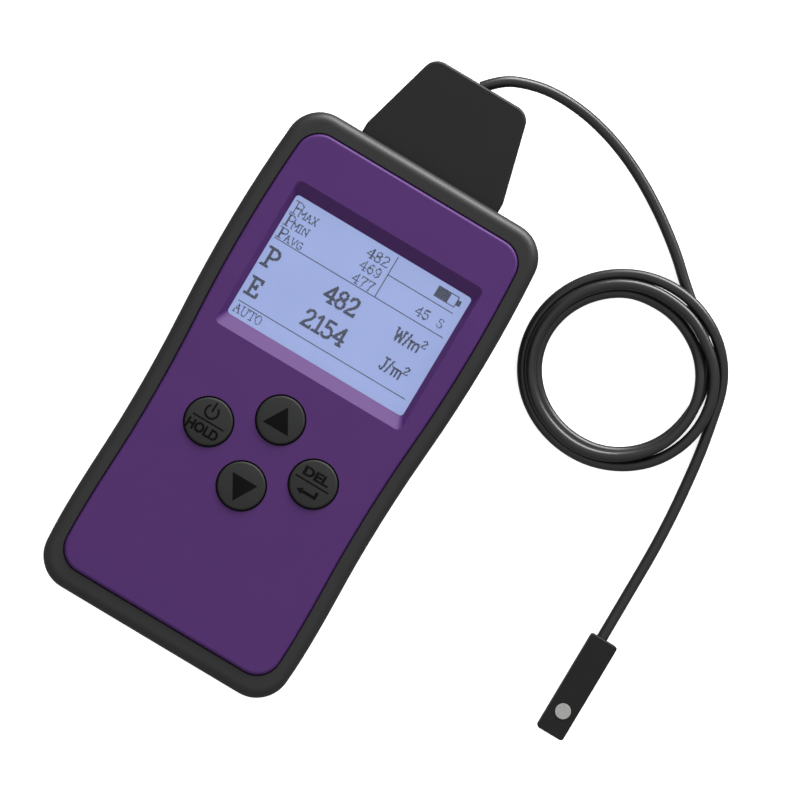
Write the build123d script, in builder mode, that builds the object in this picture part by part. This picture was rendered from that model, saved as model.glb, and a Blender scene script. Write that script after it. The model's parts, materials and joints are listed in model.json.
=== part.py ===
"""Handheld ultraviolet irradiance meter with a small probe on a cord, in millimetres.

The meter lies on its back. +Z is out of its face, +Y points to the neck that the
cord leaves, and the origin is under the middle of the meter, on the surface it
lies on. A purple front shell and a dark rear shell meet at a parting plane, and a
rubber boot is stretched over both. The rear shell carries half of the neck, the
neck cover is the other half.
"""

import os
from math import pi, radians, tan

from build123d import *

os.makedirs("parts", exist_ok=True)

# ---- Body ---------------------------------------------------------------
body_length = 141.4
neck_reach = 26.6
face_height = 26.6
parting_height = 12.5

head_half_width = 36.2
display_half_width = 38.0
waist_half_width = 35.95
foot_bulge_half_width = 36.55
foot_half_width = 35.3
display_from_head = 35.7
waist_from_head = 91.7
foot_bulge_from_head = 121.7
corner_radius = 9.4

# ---- Walls --------------------------------------------------------------
boot_wall = 2.2
boot_back = 1.6
boot_lip = 1.6
lip_below_face = 0.6
boot_top_round = 2.8
boot_back_round = 3.6
shell_wall = 2.0
shell_back_round = 2.4
face_inset = 4.6
face_head_margin = 5.6
face_foot_margin = 5.9
face_corner = 6.5
face_round = 0.8
face_groove = 0.4
back_window_inset = 9.5
back_window_head_margin = 11.0
back_window_foot_margin = 8.3
back_window_corner = 5.0

# ---- Neck ---------------------------------------------------------------
neck_base_half_width = 20.6
neck_end_half_width = 14.3
neck_straight = 2.9
neck_low = 5.0
neck_high = 20.0
neck_wall = 1.8
neck_base_corner = 2.6
neck_end_corner = 4.3
neck_edge_round = 0.8
neck_clearance = 0.15

# ---- Display ------------------------------------------------------------
display_from_head_edge = 40.4
aperture_width = 52.9
aperture_height = 35.6
aperture_corner = 1.0
recess_depth = 2.2
recess_side = 1.5
recess_head = 3.5
recess_foot = 3.6
recess_corner = 1.6
aperture_land = 0.5
window_ledge = 1.8
window_thickness = 1.0
window_clearance = 0.1
well_rim = 2.4
glass_gap = 0.2
glass_thickness = 2.2
glass_margin = 2.6
bezel_metal = 0.4
bezel_lap = 1.2
backlight_thickness = 2.0

# ---- Keys ---------------------------------------------------------------
keys_from_head = 84.9
key_step_x = 15.75
key_step_y = 9.9
key_hole_radius = 6.7
key_gap = 0.45
key_proud = 0.8
key_crown = 0.3
key_edge_round = 0.5
key_flange_radius = 7.5
key_flange = 1.2
key_flange_gap = 0.1
key_travel = 1.0
stem_radius = 3.8
pill_radius = 2.2
pill_thickness = 0.4
pill_gap = 0.1
mat_thickness = 1.0
mat_margin = 2.4
collar_gap = 0.6
collar_wall = 1.2
collar_height = 1.6
contact_radius = 2.6
contact_thickness = 0.1

# ---- Boards -------------------------------------------------------------
board_thickness = 1.6
board_half_width = 30.4
board_top = 17.8
board_head_gap = 13.2
board_foot_gap = 13.3
board_corner = 2.0
# Each chip under the board: across, from the board's head, width, length, height.
chip_sizes = [
    (-10.0, 34.0, 12.0, 12.0, 1.4),
    (8.0, 30.0, 6.0, 8.0, 1.5),
    (18.0, 32.0, 5.0, 6.0, 1.2),
    (-22.0, 24.0, 5.0, 4.0, 1.1),
    (4.0, 46.0, 5.0, 4.0, 1.6),
    (-18.0, 50.0, 7.0, 4.0, 1.6),
]
# Each capacitor and socket: across, from the board's head.
capacitor_places = [(22.0, 48.0), (22.0, 40.0), (-24.0, 38.0)]
capacitor_radius = 3.15
capacitor_height = 5.4
capacitor_round = 0.5
socket_places = [(0.0, 4.0), (10.0, 56.5)]
socket_width = 12.0
socket_length = 5.0
socket_height = 4.0
post_x = 27.5
post_from_head = 15.7
post_span = 104.0
post_radius = 2.3
post_pilot = 0.8
pilot_depth = 4.5

# ---- Screws -------------------------------------------------------------
boss_x = 28.3
boss_from_head = 8.7
boss_from_foot = 9.3
boss_radius = 3.2
boss_pilot = 1.05
shell_screw_shank = 1.25
shell_screw_head = 2.3
shell_screw_head_height = 1.6
shell_screw_length = 17.0
screw_clearance = 0.25
board_screw_shank = 0.85
board_screw_head = 1.7
board_screw_head_height = 1.0
board_screw_length = 5.0
counterbore_depth = 3.0
neck_screw_x = 14.2
neck_screw_from_head = 6.2
neck_screw_shank = 1.0
neck_screw_head = 1.9
neck_screw_head_height = 1.3
neck_screw_length = 9.5
neck_counterbore = 1.8
neck_post_radius = 2.8
neck_pilot = 0.85
clamp_screw_shank = 0.7
clamp_screw_head = 1.4
clamp_screw_head_height = 0.9
clamp_screw_length = 6.0
clamp_post_radius = 1.8
clamp_pilot = 0.6
# Shares of a screw's own head and shank.
head_top_share = 0.75
head_side_share = 0.6
tip_share = 0.4
cross_reach = 1.1
cross_width = 0.25
cross_depth = 0.4

# ---- Batteries ----------------------------------------------------------
cell_count = 4
cell_radius = 5.25
cell_length = 44.5
cell_nub_radius = 1.9
cell_nub = 0.8
cell_round = 0.35
cell_pitch = 11.0
bay_length = 48.0
bay_from_foot = 15.3
bay_side_gap = 0.45
bay_wall = 2.4
bay_roof = 1.0
cell_floor_gap = 0.35
contact_plate = 0.4
contact_width = 7.0
spring_wire = 0.3
spring_radius = 2.9
spring_turns = 3

# ---- Battery door -------------------------------------------------------
door_thickness = 1.8
door_gap = 0.3
door_seat_gap = 0.2
door_ledge = 1.9
hinge_pin_radius = 0.6
hinge_pin_clearance = 0.06
hinge_pin_length = 1.5
latch_width = 3.6
latch_height = 1.6
latch_thickness = 1.2
rib_count = 5
rib_width = 14.0
rib_length = 0.9
rib_pitch = 2.4
rib_height = 0.4
rib_corner = 0.3
rib_from_head = 5.0

# ---- Cord ---------------------------------------------------------------
cord_diameter = 3.0
cord_bore_clearance = 0.05
arc_share = 0.45
grommet_radius = 2.5
grommet_hole_clearance = 0.05
grommet_flange_radius = 3.6
grommet_flange = 1.2
inner_cord_length = 15.0
clamp_width = 14.0
clamp_length = 5.0
clamp_height = 3.0
clamp_from_end = 8.0
clamp_bite = 1.0
clamp_screw_x = 4.9
sensor_board_half_width = 10.8
sensor_board_length = 14.0
sensor_board_from_head = 1.8
sensor_board_lift = 1.8
sensor_board_thickness = 1.2
sensor_pad_radius = 1.5
sensor_pad_x = 8.0
sensor_pad_inset = 2.5
# Each chip on the sensor board: across, from the board's foot.
sensor_chip_places = [(-6.5, 6.0), (6.5, 6.0), (6.5, 10.5)]
sensor_chip_width = 4.0
sensor_chip_length = 3.2
sensor_chip_height = 1.1
ribbon_thickness = 0.3
ribbon_width = 8.0
ribbon_bend = 1.5
ribbon_lap = 3.0
ribbon_slope = 5.0

# Points of the cord from the exit, chosen by hand: out of the neck, down to the
# surface, round to the coil, and from the coil to the probe.
lead_points = [
    (0.0, 0.0, 0.0),
    (3.2, 3.8, -0.2),
    (8.4, 6.8, -1.2),
    (17.2, 9.1, -3.6),
    (29.3, 8.6, -7.0),
    (42.0, 5.0, -9.8),
    (54.6, -1.5, -11.0),
    (66.4, -10.0, -11.0),
    (73.4, -16.6, -11.0),
]
tail_points = [
    (97.8, -44.3, -11.0),
    (99.8, -54.7, -11.0),
    (102.0, -76.0, -11.0),
    (102.1, -97.4, -10.9),
    (102.1, -109.5, -9.9),
]
coil_centre = (70.2, -44.2)
coil_inner_radius = 19.9
coil_outer_radius = 27.3
coil_height = 8.2
coil_round = 1.4

# ---- Probe --------------------------------------------------------------
probe_width = 7.8
probe_length = 28.8
probe_height = 5.2
probe_wall = 0.9
probe_corner = 0.8
probe_round = 0.3
probe_cover_thickness = 0.9
probe_cord_offset = 0.9
diffuser_radius = 2.1
diffuser_from_tip = 7.0
diffuser_proud = 0.15
diffuser_thickness = 0.7
optic_clearance = 0.05
filter_radius = 1.9
filter_thickness = 0.6
sensor_side = 3.0
probe_board_thickness = 0.6
probe_board_gap = 0.25
probe_screw_shank = 0.5
probe_screw_head = 0.95
probe_screw_head_height = 0.45
probe_screw_length = 2.2
probe_screw_from_end = 2.6
probe_screw_from_cord = 3.6
probe_post_radius = 1.1
probe_pilot = 0.45
probe_pilot_end = 0.4
probe_cord_inside = 1.5

# ---- Places worked out from the sizes -----------------------------------
foot_y = -(body_length + neck_reach) / 2
head_y = foot_y + body_length
neck_y = head_y + neck_reach
display_y = head_y - display_from_head_edge
keys_y = head_y - keys_from_head

boot_top = face_height - lip_below_face
rim_height = boot_top - boot_lip
shell_back = boot_back
floor_height = shell_back + shell_wall
ceiling_height = face_height - shell_wall
rim_ceiling = rim_height - shell_wall
shell_inset = boot_wall
cavity_inset = boot_wall + shell_wall

recess_floor = face_height - recess_depth
window_top = recess_floor - aperture_land
window_low = window_top - window_thickness
glass_top = window_low - glass_gap - bezel_metal
board_low = board_top - board_thickness
board_head = head_y - board_head_gap
board_foot = foot_y + board_foot_gap

bay_half_width = cell_pitch * (cell_count - 1) / 2 + cell_radius + bay_side_gap
bay_foot = foot_y + bay_from_foot
bay_head = bay_foot + bay_length
door_top = shell_back + door_thickness
cell_axis = floor_height + cell_floor_gap + cell_radius
bay_ceiling = cell_axis + cell_radius + cell_floor_gap
door_half_width = bay_half_width + door_ledge
door_foot = bay_foot - door_ledge / 2
door_head = bay_head + door_ledge / 2
hinge_y = door_foot + door_thickness / 2
hinge_z = shell_back + door_thickness / 2
hinge_x = door_half_width + door_gap + hinge_pin_length

exit_z = parting_height
cord_radius = cord_diameter / 2
clamp_y = neck_y - clamp_from_end
clamp_seat = exit_z - clamp_bite
neck_floor = neck_low + neck_wall
neck_screw_spots = [(side * neck_screw_x, head_y + neck_screw_from_head) for side in (-1, 1)]
clamp_spots = [(side * clamp_screw_x, clamp_y) for side in (-1, 1)]
sensor_board_foot = head_y + sensor_board_from_head
sensor_board_low = neck_floor + sensor_board_lift
sensor_board_top = sensor_board_low + sensor_board_thickness
sensor_pad_spots = [
    (side * sensor_pad_x, sensor_board_foot + up)
    for side in (-1, 1)
    for up in (sensor_pad_inset, sensor_board_length - sensor_pad_inset)
]

key_top = face_height + key_proud
flange_top = ceiling_height - key_flange_gap
flange_low = flange_top - key_flange
contact_top = board_top + contact_thickness
pill_low = contact_top + pill_gap + key_travel
stem_low = pill_low + pill_thickness

key_spots = {
    "up": (0, keys_y + key_step_y),
    "down": (0, keys_y - key_step_y),
    "power": (-key_step_x, keys_y),
    "enter": (key_step_x, keys_y),
}
boss_spots = [
    (side * boss_x, y)
    for side in (-1, 1)
    for y in (foot_y + boss_from_foot, head_y - boss_from_head)
]
post_spots = [
    (side * post_x, head_y - post_from_head - step)
    for side in (-1, 1)
    for step in (0, post_span)
]


# ---- Outlines -----------------------------------------------------------
def body_outline(height, inset, low_y, high_y, corner):
    """The waisted outline of the body, moved in by an inset and cut at two ends."""
    middle = [
        (display_half_width - inset, head_y - display_from_head),
        (waist_half_width - inset, head_y - waist_from_head),
        (foot_bulge_half_width - inset, head_y - foot_bulge_from_head),
    ]
    head = (head_half_width - inset, head_y)
    foot = (foot_half_width - inset, foot_y)
    with BuildSketch(Plane.XY.offset(height)) as outline:
        with BuildLine():
            TangentArc(middle[0], head, tangent=(0, 1))
            for upper, lower in zip(middle, middle[1:]):
                turn = ((upper[0] + lower[0]) / 2, (upper[1] + lower[1]) / 2)
                TangentArc(upper, turn, tangent=(0, -1))
                TangentArc(lower, turn, tangent=(0, 1))
            TangentArc(middle[2], foot, tangent=(0, -1))
            Line(head, (0, head_y))
            Line(foot, (0, foot_y))
            mirror(about=Plane.YZ)
        make_face()
        with Locations((0, (low_y + high_y) / 2)):
            Rectangle(4 * display_half_width, high_y - low_y, mode=Mode.INTERSECT)
        ends = outline.vertices().group_by(Axis.Y)
        fillet(ends[0] + ends[-1], corner)
    return outline.sketch


def neck_outline(height, inset, start_y):
    """The tapered outline of the neck, moved in by an inset, from a line inside the body."""
    end = neck_y - inset
    with BuildSketch(Plane.XY.offset(height)) as outline:
        with BuildLine():
            Polyline(
                (0, start_y),
                (neck_base_half_width - inset, start_y),
                (neck_base_half_width - inset, head_y + neck_straight),
                (neck_end_half_width - inset, end),
                (0, end),
            )
            mirror(about=Plane.YZ)
        make_face()
        rows = outline.vertices().group_by(Axis.Y)
        fillet(rows[1], neck_base_corner)
        fillet(outline.vertices().group_by(Axis.Y)[-1], neck_end_corner)
    return outline.sketch


def block(x_range, y_range, z_range, corner=0.0):
    """A box between two values on each axis, its upright edges rounded."""
    width, length = x_range[1] - x_range[0], y_range[1] - y_range[0]
    with BuildSketch(Plane.XY.offset(z_range[0])) as base:
        with Locations(((x_range[0] + x_range[1]) / 2, (y_range[0] + y_range[1]) / 2)):
            if corner:
                RectangleRounded(width, length, corner)
            else:
                Rectangle(width, length)
    return extrude(base.sketch, amount=z_range[1] - z_range[0], mode=Mode.PRIVATE)


def rod(spot, radius, low, high):
    """An upright cylinder at a spot between two heights."""
    with BuildSketch(Plane.XY.offset(low)) as base:
        with Locations(spot):
            Circle(radius)
    return extrude(base.sketch, amount=high - low, mode=Mode.PRIVATE)


def screw(head_radius, head_height, shank_radius, length):
    """A pan-head screw with its head's seat at the origin and its shank up +Z."""
    with BuildPart() as one:
        with BuildSketch(Plane.XZ):
            with BuildLine():
                Polyline(
                    (0, -head_height),
                    (head_radius * head_top_share, -head_height),
                    (head_radius, -head_height * head_side_share),
                    (head_radius, 0),
                    (shank_radius, 0),
                    (shank_radius, length - shank_radius),
                    (shank_radius * tip_share, length),
                    (0, length),
                    close=True,
                )
            make_face()
        revolve(axis=Axis.Z)
        with BuildSketch(Plane.XY.offset(-head_height)):
            Rectangle(head_radius * cross_reach, head_radius * cross_width)
            Rectangle(head_radius * cross_width, head_radius * cross_reach)
        extrude(amount=head_height * cross_depth, mode=Mode.SUBTRACT)
    return one.part


# ---- Rubber boot --------------------------------------------------------
with BuildPart() as rubber_boot:
    extrude(body_outline(0, 0, foot_y, head_y, corner_radius), amount=boot_top)
    fillet(rubber_boot.edges().group_by(Axis.Z)[-1], boot_top_round)
    fillet(rubber_boot.edges().group_by(Axis.Z)[0], boot_back_round)
    extrude(
        body_outline(
            boot_back, shell_inset, foot_y + boot_wall, head_y - boot_wall, corner_radius - boot_wall
        ),
        amount=rim_height - boot_back,
        mode=Mode.SUBTRACT,
    )
    extrude(
        body_outline(
            rim_height,
            face_inset - face_groove,
            foot_y + face_foot_margin - face_groove,
            head_y - face_head_margin + face_groove,
            face_corner + face_groove,
        ),
        amount=boot_lip,
        mode=Mode.SUBTRACT,
    )
    extrude(
        body_outline(
            0,
            back_window_inset,
            foot_y + back_window_foot_margin,
            head_y - back_window_head_margin,
            back_window_corner,
        ),
        amount=boot_back,
        mode=Mode.SUBTRACT,
    )
    add(
        block(
            (-neck_base_half_width - neck_clearance, neck_base_half_width + neck_clearance),
            (head_y - cavity_inset, head_y + boot_wall),
            (neck_low - neck_clearance, neck_high + neck_clearance),
        ),
        mode=Mode.SUBTRACT,
    )
rubber_boot.part.label = "rubber_boot"
export_step(rubber_boot.part, "parts/rubber_boot.step")

# ---- Front shell --------------------------------------------------------
face_ends = (foot_y + face_foot_margin, head_y - face_head_margin)
shell_ends = (foot_y + boot_wall, head_y - boot_wall)
cavity_ends = (foot_y + cavity_inset, head_y - cavity_inset)
recess_centre = display_y + (recess_head - recess_foot) / 2
window_width = aperture_width + 2 * window_ledge
window_height = aperture_height + 2 * window_ledge

with BuildPart() as front_shell:
    extrude(
        body_outline(parting_height, shell_inset, *shell_ends, corner_radius - boot_wall),
        amount=rim_height - parting_height,
    )
    extrude(
        body_outline(rim_height, face_inset, *face_ends, face_corner),
        amount=face_height - rim_height,
    )
    fillet(front_shell.edges().group_by(Axis.Z)[-1], face_round)
    extrude(
        body_outline(parting_height, cavity_inset, *cavity_ends, corner_radius - cavity_inset),
        amount=rim_ceiling - parting_height,
        mode=Mode.SUBTRACT,
    )
    extrude(
        body_outline(
            rim_ceiling,
            face_inset + shell_wall,
            face_ends[0] + shell_wall,
            face_ends[1] - shell_wall,
            face_corner - shell_wall,
        ),
        amount=ceiling_height - rim_ceiling,
        mode=Mode.SUBTRACT,
    )
    add(
        block(
            (-window_width / 2 - well_rim, window_width / 2 + well_rim),
            (display_y - window_height / 2 - well_rim, display_y + window_height / 2 + well_rim),
            (window_low, ceiling_height),
        )
    )
    for spot in boss_spots:
        add(rod(spot, boss_radius, parting_height, rim_height))
    for spot in post_spots:
        add(rod(spot, post_radius, board_top, ceiling_height))
    # The sloped recess over the display, its land, and the window's rebate behind it.
    with BuildSketch(Plane.XY.offset(recess_floor)):
        with Locations((0, display_y)):
            RectangleRounded(aperture_width, aperture_height, aperture_corner)
    with BuildSketch(Plane.XY.offset(face_height)):
        with Locations((0, recess_centre)):
            RectangleRounded(
                aperture_width + 2 * recess_side,
                aperture_height + recess_head + recess_foot,
                recess_corner,
            )
    loft(mode=Mode.SUBTRACT)
    with BuildSketch(Plane.XY.offset(window_top)):
        with Locations((0, display_y)):
            RectangleRounded(aperture_width, aperture_height, aperture_corner)
    extrude(amount=aperture_land, mode=Mode.SUBTRACT)
    with BuildSketch(Plane.XY.offset(window_low)):
        with Locations((0, display_y)):
            Rectangle(window_width, window_height)
    extrude(amount=window_thickness, mode=Mode.SUBTRACT)
    with BuildSketch(Plane.XY.offset(ceiling_height)):
        with Locations(*key_spots.values()):
            Circle(key_hole_radius)
    extrude(amount=shell_wall, mode=Mode.SUBTRACT)
    for spot in boss_spots:
        add(rod(spot, boss_pilot, parting_height, ceiling_height - shell_wall), mode=Mode.SUBTRACT)
    for spot in post_spots:
        add(rod(spot, post_pilot, board_top, board_top + pilot_depth), mode=Mode.SUBTRACT)
    add(
        block(
            (-neck_base_half_width - neck_clearance, neck_base_half_width + neck_clearance),
            (head_y - cavity_inset - shell_wall, head_y),
            (parting_height, neck_high + neck_clearance),
        ),
        mode=Mode.SUBTRACT,
    )
front_shell.part.label = "front_shell"
export_step(front_shell.part, "parts/front_shell.step")

# ---- Rear shell with the neck's lower half ------------------------------
neck_start = head_y - cavity_inset

with BuildPart() as rear_shell:
    extrude(
        body_outline(shell_back, shell_inset, *shell_ends, corner_radius - boot_wall),
        amount=parting_height - shell_back,
    )
    fillet(rear_shell.edges().group_by(Axis.Z)[0], shell_back_round)
    extrude(neck_outline(neck_low, 0, neck_start), amount=parting_height - neck_low)
    neck_edges = rear_shell.edges().filter_by_position(Axis.Z, neck_low, neck_low)
    fillet(neck_edges.filter_by(lambda edge: edge.center().Y > head_y), neck_edge_round)
    extrude(
        body_outline(floor_height, cavity_inset, *cavity_ends, corner_radius - cavity_inset),
        amount=parting_height - floor_height,
        mode=Mode.SUBTRACT,
    )
    extrude(
        neck_outline(neck_floor, neck_wall, neck_start - shell_wall),
        amount=parting_height - neck_floor,
        mode=Mode.SUBTRACT,
    )
    # Battery bay: a box with a roof, open to the door.
    add(
        block(
            (-bay_half_width - bay_wall, bay_half_width + bay_wall),
            (bay_foot - bay_wall, bay_head + bay_wall),
            (floor_height - shell_wall / 2, bay_ceiling + bay_roof),
        )
    )
    for spot in boss_spots:
        add(rod(spot, boss_radius, floor_height, parting_height))
    for spot in neck_screw_spots:
        add(rod(spot, neck_post_radius, neck_floor, parting_height))
    for spot in sensor_pad_spots:
        add(rod(spot, sensor_pad_radius, neck_floor, sensor_board_low))
    for spot in clamp_spots:
        add(rod(spot, clamp_post_radius, neck_floor, clamp_seat))
    add(
        block(
            (-bay_half_width, bay_half_width), (bay_foot, bay_head), (shell_back, bay_ceiling)
        ),
        mode=Mode.SUBTRACT,
    )
    add(
        block(
            (-door_half_width - door_gap, door_half_width + door_gap),
            (door_foot - door_gap, door_head + door_gap),
            (shell_back, door_top + door_seat_gap),
        ),
        mode=Mode.SUBTRACT,
    )
    with BuildSketch(Plane.YZ.offset(-hinge_x)):
        with Locations((hinge_y, hinge_z)):
            Circle(hinge_pin_radius + hinge_pin_clearance)
    extrude(amount=2 * hinge_x, mode=Mode.SUBTRACT)
    for spot in boss_spots:
        add(rod(spot, shell_screw_shank + screw_clearance, shell_back, parting_height), mode=Mode.SUBTRACT)
        add(
            rod(spot, shell_screw_head + screw_clearance, shell_back, shell_back + counterbore_depth),
            mode=Mode.SUBTRACT,
        )
    for spot in neck_screw_spots:
        add(rod(spot, neck_screw_shank + screw_clearance, neck_low, parting_height), mode=Mode.SUBTRACT)
        add(
            rod(spot, neck_screw_head + screw_clearance, neck_low, neck_low + neck_counterbore),
            mode=Mode.SUBTRACT,
        )
    for spot in clamp_spots:
        add(rod(spot, clamp_pilot, neck_floor, clamp_seat), mode=Mode.SUBTRACT)
    with BuildSketch(Plane.XZ.offset(-neck_y)):
        with Locations((0, exit_z)):
            Circle(grommet_radius + grommet_hole_clearance)
    extrude(amount=neck_wall, mode=Mode.SUBTRACT)
rear_shell.part.label = "rear_shell"
export_step(rear_shell.part, "parts/rear_shell.step")

# ---- Neck cover, the neck's upper half ----------------------------------
with BuildPart() as neck_cover:
    extrude(neck_outline(parting_height, 0, neck_start), amount=neck_high - parting_height)
    neck_edges = neck_cover.edges().group_by(Axis.Z)[-1]
    fillet(neck_edges.filter_by(lambda edge: edge.center().Y > neck_start + 1), neck_edge_round)
    extrude(
        neck_outline(parting_height, neck_wall, neck_start - shell_wall),
        amount=neck_high - neck_wall - parting_height,
        mode=Mode.SUBTRACT,
    )
    for spot in neck_screw_spots:
        add(rod(spot, neck_post_radius, parting_height, neck_high - neck_wall))
        add(rod(spot, neck_pilot, parting_height, parting_height + pilot_depth), mode=Mode.SUBTRACT)
    with BuildSketch(Plane.XZ.offset(-neck_y)):
        with Locations((0, exit_z)):
            Circle(grommet_radius + grommet_hole_clearance)
    extrude(amount=neck_wall, mode=Mode.SUBTRACT)
neck_cover.part.label = "neck_cover"
export_step(neck_cover.part, "parts/neck_cover.step")

# ---- Display ------------------------------------------------------------
glass_width = aperture_width + 2 * glass_margin
glass_height = aperture_height + 2 * glass_margin
glass_low = glass_top - glass_thickness
bezel_inner_width = glass_width + 2 * glass_gap
bezel_inner_height = glass_height + 2 * glass_gap


def display_plate(width, height, low, high, corner=0.0):
    """A plate centred on the display between two heights."""
    return block(
        (-width / 2, width / 2),
        (display_y - height / 2, display_y + height / 2),
        (low, high),
        corner,
    )


with BuildPart() as lcd_window:
    add(
        display_plate(
            window_width - 2 * window_clearance,
            window_height - 2 * window_clearance,
            window_low,
            window_top,
            aperture_corner,
        )
    )
lcd_window.part.label = "lcd_window"
export_step(lcd_window.part, "parts/lcd_window.step")

with BuildPart() as lcd_glass:
    add(display_plate(glass_width, glass_height, glass_low, glass_top))
lcd_glass.part.label = "lcd_glass"
export_step(lcd_glass.part, "parts/lcd_glass.step")

with BuildPart() as lcd_backlight:
    add(display_plate(glass_width, glass_height, board_top, glass_low))
lcd_backlight.part.label = "lcd_backlight"
export_step(lcd_backlight.part, "parts/lcd_backlight.step")

with BuildPart() as lcd_bezel:
    add(
        display_plate(
            bezel_inner_width + 2 * bezel_metal,
            bezel_inner_height + 2 * bezel_metal,
            board_top,
            glass_top + bezel_metal,
            bezel_metal,
        )
    )
    add(
        display_plate(bezel_inner_width, bezel_inner_height, board_top, glass_top),
        mode=Mode.SUBTRACT,
    )
    add(
        display_plate(
            glass_width - 2 * bezel_lap, glass_height - 2 * bezel_lap, glass_top, window_low
        ),
        mode=Mode.SUBTRACT,
    )
lcd_bezel.part.label = "lcd_bezel"
export_step(lcd_bezel.part, "parts/lcd_bezel.step")

# ---- Main board and what is on it ---------------------------------------
with BuildPart() as main_board:
    add(
        block(
            (-board_half_width, board_half_width),
            (board_foot, board_head),
            (board_low, board_top),
            board_corner,
        )
    )
    for spot in post_spots:
        add(rod(spot, board_screw_shank + screw_clearance, board_low, board_top), mode=Mode.SUBTRACT)
main_board.part.label = "main_board"
export_step(main_board.part, "parts/main_board.step")

with BuildPart() as board_chips:
    for across, from_head, width, length, height in chip_sizes:
        middle = board_head - from_head
        add(
            block(
                (across - width / 2, across + width / 2),
                (middle - length / 2, middle + length / 2),
                (board_low - height, board_low),
            )
        )
board_chips.part.label = "board_chips"
export_step(board_chips.part, "parts/board_chips.step")

with BuildPart() as board_capacitors:
    for across, from_head in capacitor_places:
        spot = (across, board_head - from_head)
        add(rod(spot, capacitor_radius, board_low - capacitor_height, board_low))
    fillet(board_capacitors.edges().group_by(Axis.Z)[0], capacitor_round)
board_capacitors.part.label = "board_capacitors"
export_step(board_capacitors.part, "parts/board_capacitors.step")

with BuildPart() as board_sockets:
    for across, from_head in socket_places:
        middle = board_head - from_head
        add(
            block(
                (across - socket_width / 2, across + socket_width / 2),
                (middle - socket_length / 2, middle + socket_length / 2),
                (board_low - socket_height, board_low),
            )
        )
board_sockets.part.label = "board_sockets"
export_step(board_sockets.part, "parts/board_sockets.step")

# ---- Keypad -------------------------------------------------------------
with BuildPart() as keypad_mat:
    reach = stem_radius + collar_gap + collar_wall + mat_margin
    add(
        block(
            (-key_step_x - reach, key_step_x + reach),
            (keys_y - key_step_y - reach, keys_y + key_step_y + reach),
            (board_top, board_top + mat_thickness),
            mat_margin,
        )
    )
    for spot in key_spots.values():
        add(
            rod(
                spot,
                stem_radius + collar_gap + collar_wall,
                board_top,
                board_top + mat_thickness + collar_height,
            )
        )
    for spot in key_spots.values():
        add(
            rod(
                spot, stem_radius + collar_gap, board_top, board_top + mat_thickness + collar_height
            ),
            mode=Mode.SUBTRACT,
        )
keypad_mat.part.label = "keypad_mat"
export_step(keypad_mat.part, "parts/keypad_mat.step")

with BuildPart() as key_contacts:
    for spot in key_spots.values():
        add(rod(spot, contact_radius, board_top, contact_top))
key_contacts.part.label = "key_contacts"
export_step(key_contacts.part, "parts/key_contacts.step")

cap_radius = key_hole_radius - key_gap
for name, spot in key_spots.items():
    with BuildPart() as key:
        with BuildSketch(Plane.XZ):
            with BuildLine():
                shoulder = (cap_radius, key_top - key_crown)
                ThreePointArc((0, key_top), (cap_radius / 2, key_top - key_crown / 4), shoulder)
                Polyline(
                    shoulder,
                    (cap_radius, flange_top),
                    (key_flange_radius, flange_top),
                    (key_flange_radius, flange_low),
                    (stem_radius, flange_low),
                    (stem_radius, stem_low),
                    (0, stem_low),
                    (0, key_top),
                )
            make_face()
        revolve(axis=Axis.Z)
        rings = key.edges().filter_by(lambda edge: edge.is_closed)
        fillet(rings.sort_by(Axis.Z)[-1], key_edge_round)
    with BuildPart() as placed_key:
        with Locations(spot):
            add(key.part)
    placed_key.part.label = f"key_{name}"
    export_step(placed_key.part, f"parts/key_{name}.step")

    with BuildPart() as pill:
        add(rod(spot, pill_radius, pill_low, stem_low))
    pill.part.label = f"pill_{name}"
    export_step(pill.part, f"parts/pill_{name}.step")

# ---- Fasteners ----------------------------------------------------------
with BuildPart() as shell_screws:
    seat = shell_back + counterbore_depth
    with Locations(*[(x, y, seat) for x, y in boss_spots]):
        add(screw(shell_screw_head, shell_screw_head_height, shell_screw_shank, shell_screw_length))
shell_screws.part.label = "shell_screws"
export_step(shell_screws.part, "parts/shell_screws.step")

with BuildPart() as board_screws:
    with Locations(*[(x, y, board_low) for x, y in post_spots]):
        add(screw(board_screw_head, board_screw_head_height, board_screw_shank, board_screw_length))
board_screws.part.label = "board_screws"
export_step(board_screws.part, "parts/board_screws.step")

with BuildPart() as neck_screws:
    seat = neck_low + neck_counterbore
    with Locations(*[(x, y, seat) for x, y in neck_screw_spots]):
        add(screw(neck_screw_head, neck_screw_head_height, neck_screw_shank, neck_screw_length))
neck_screws.part.label = "neck_screws"
export_step(neck_screws.part, "parts/neck_screws.step")

# ---- Batteries and their contacts ---------------------------------------
cell_spots = [
    (cell_pitch * (i - (cell_count - 1) / 2), 1 if i % 2 else -1) for i in range(cell_count)
]
bay_middle = (bay_foot + bay_head) / 2
bay_reach = bay_length / 2 - contact_plate
nub_end = bay_reach
cell_low = nub_end - cell_length

for number, (across, way) in enumerate(cell_spots, start=1):
    with BuildPart() as cell:
        with BuildSketch(Plane.YZ.offset(across)):
            with BuildLine():
                Polyline(
                    (bay_middle + way * cell_low, cell_axis),
                    (bay_middle + way * cell_low, cell_axis + cell_radius),
                    (bay_middle + way * (nub_end - cell_nub), cell_axis + cell_radius),
                    (bay_middle + way * (nub_end - cell_nub), cell_axis + cell_nub_radius),
                    (bay_middle + way * nub_end, cell_axis + cell_nub_radius),
                    (bay_middle + way * nub_end, cell_axis),
                    close=True,
                )
            make_face()
        revolve(axis=Axis((across, bay_middle, cell_axis), (0, 1, 0)))
        rings = cell.edges().filter_by(lambda edge: edge.is_closed)
        fillet(rings.sort_by(lambda edge: edge.length)[-2:], cell_round)
    cell.part.label = f"battery_{number}"
    export_step(cell.part, f"parts/battery_{number}.step")

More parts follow.
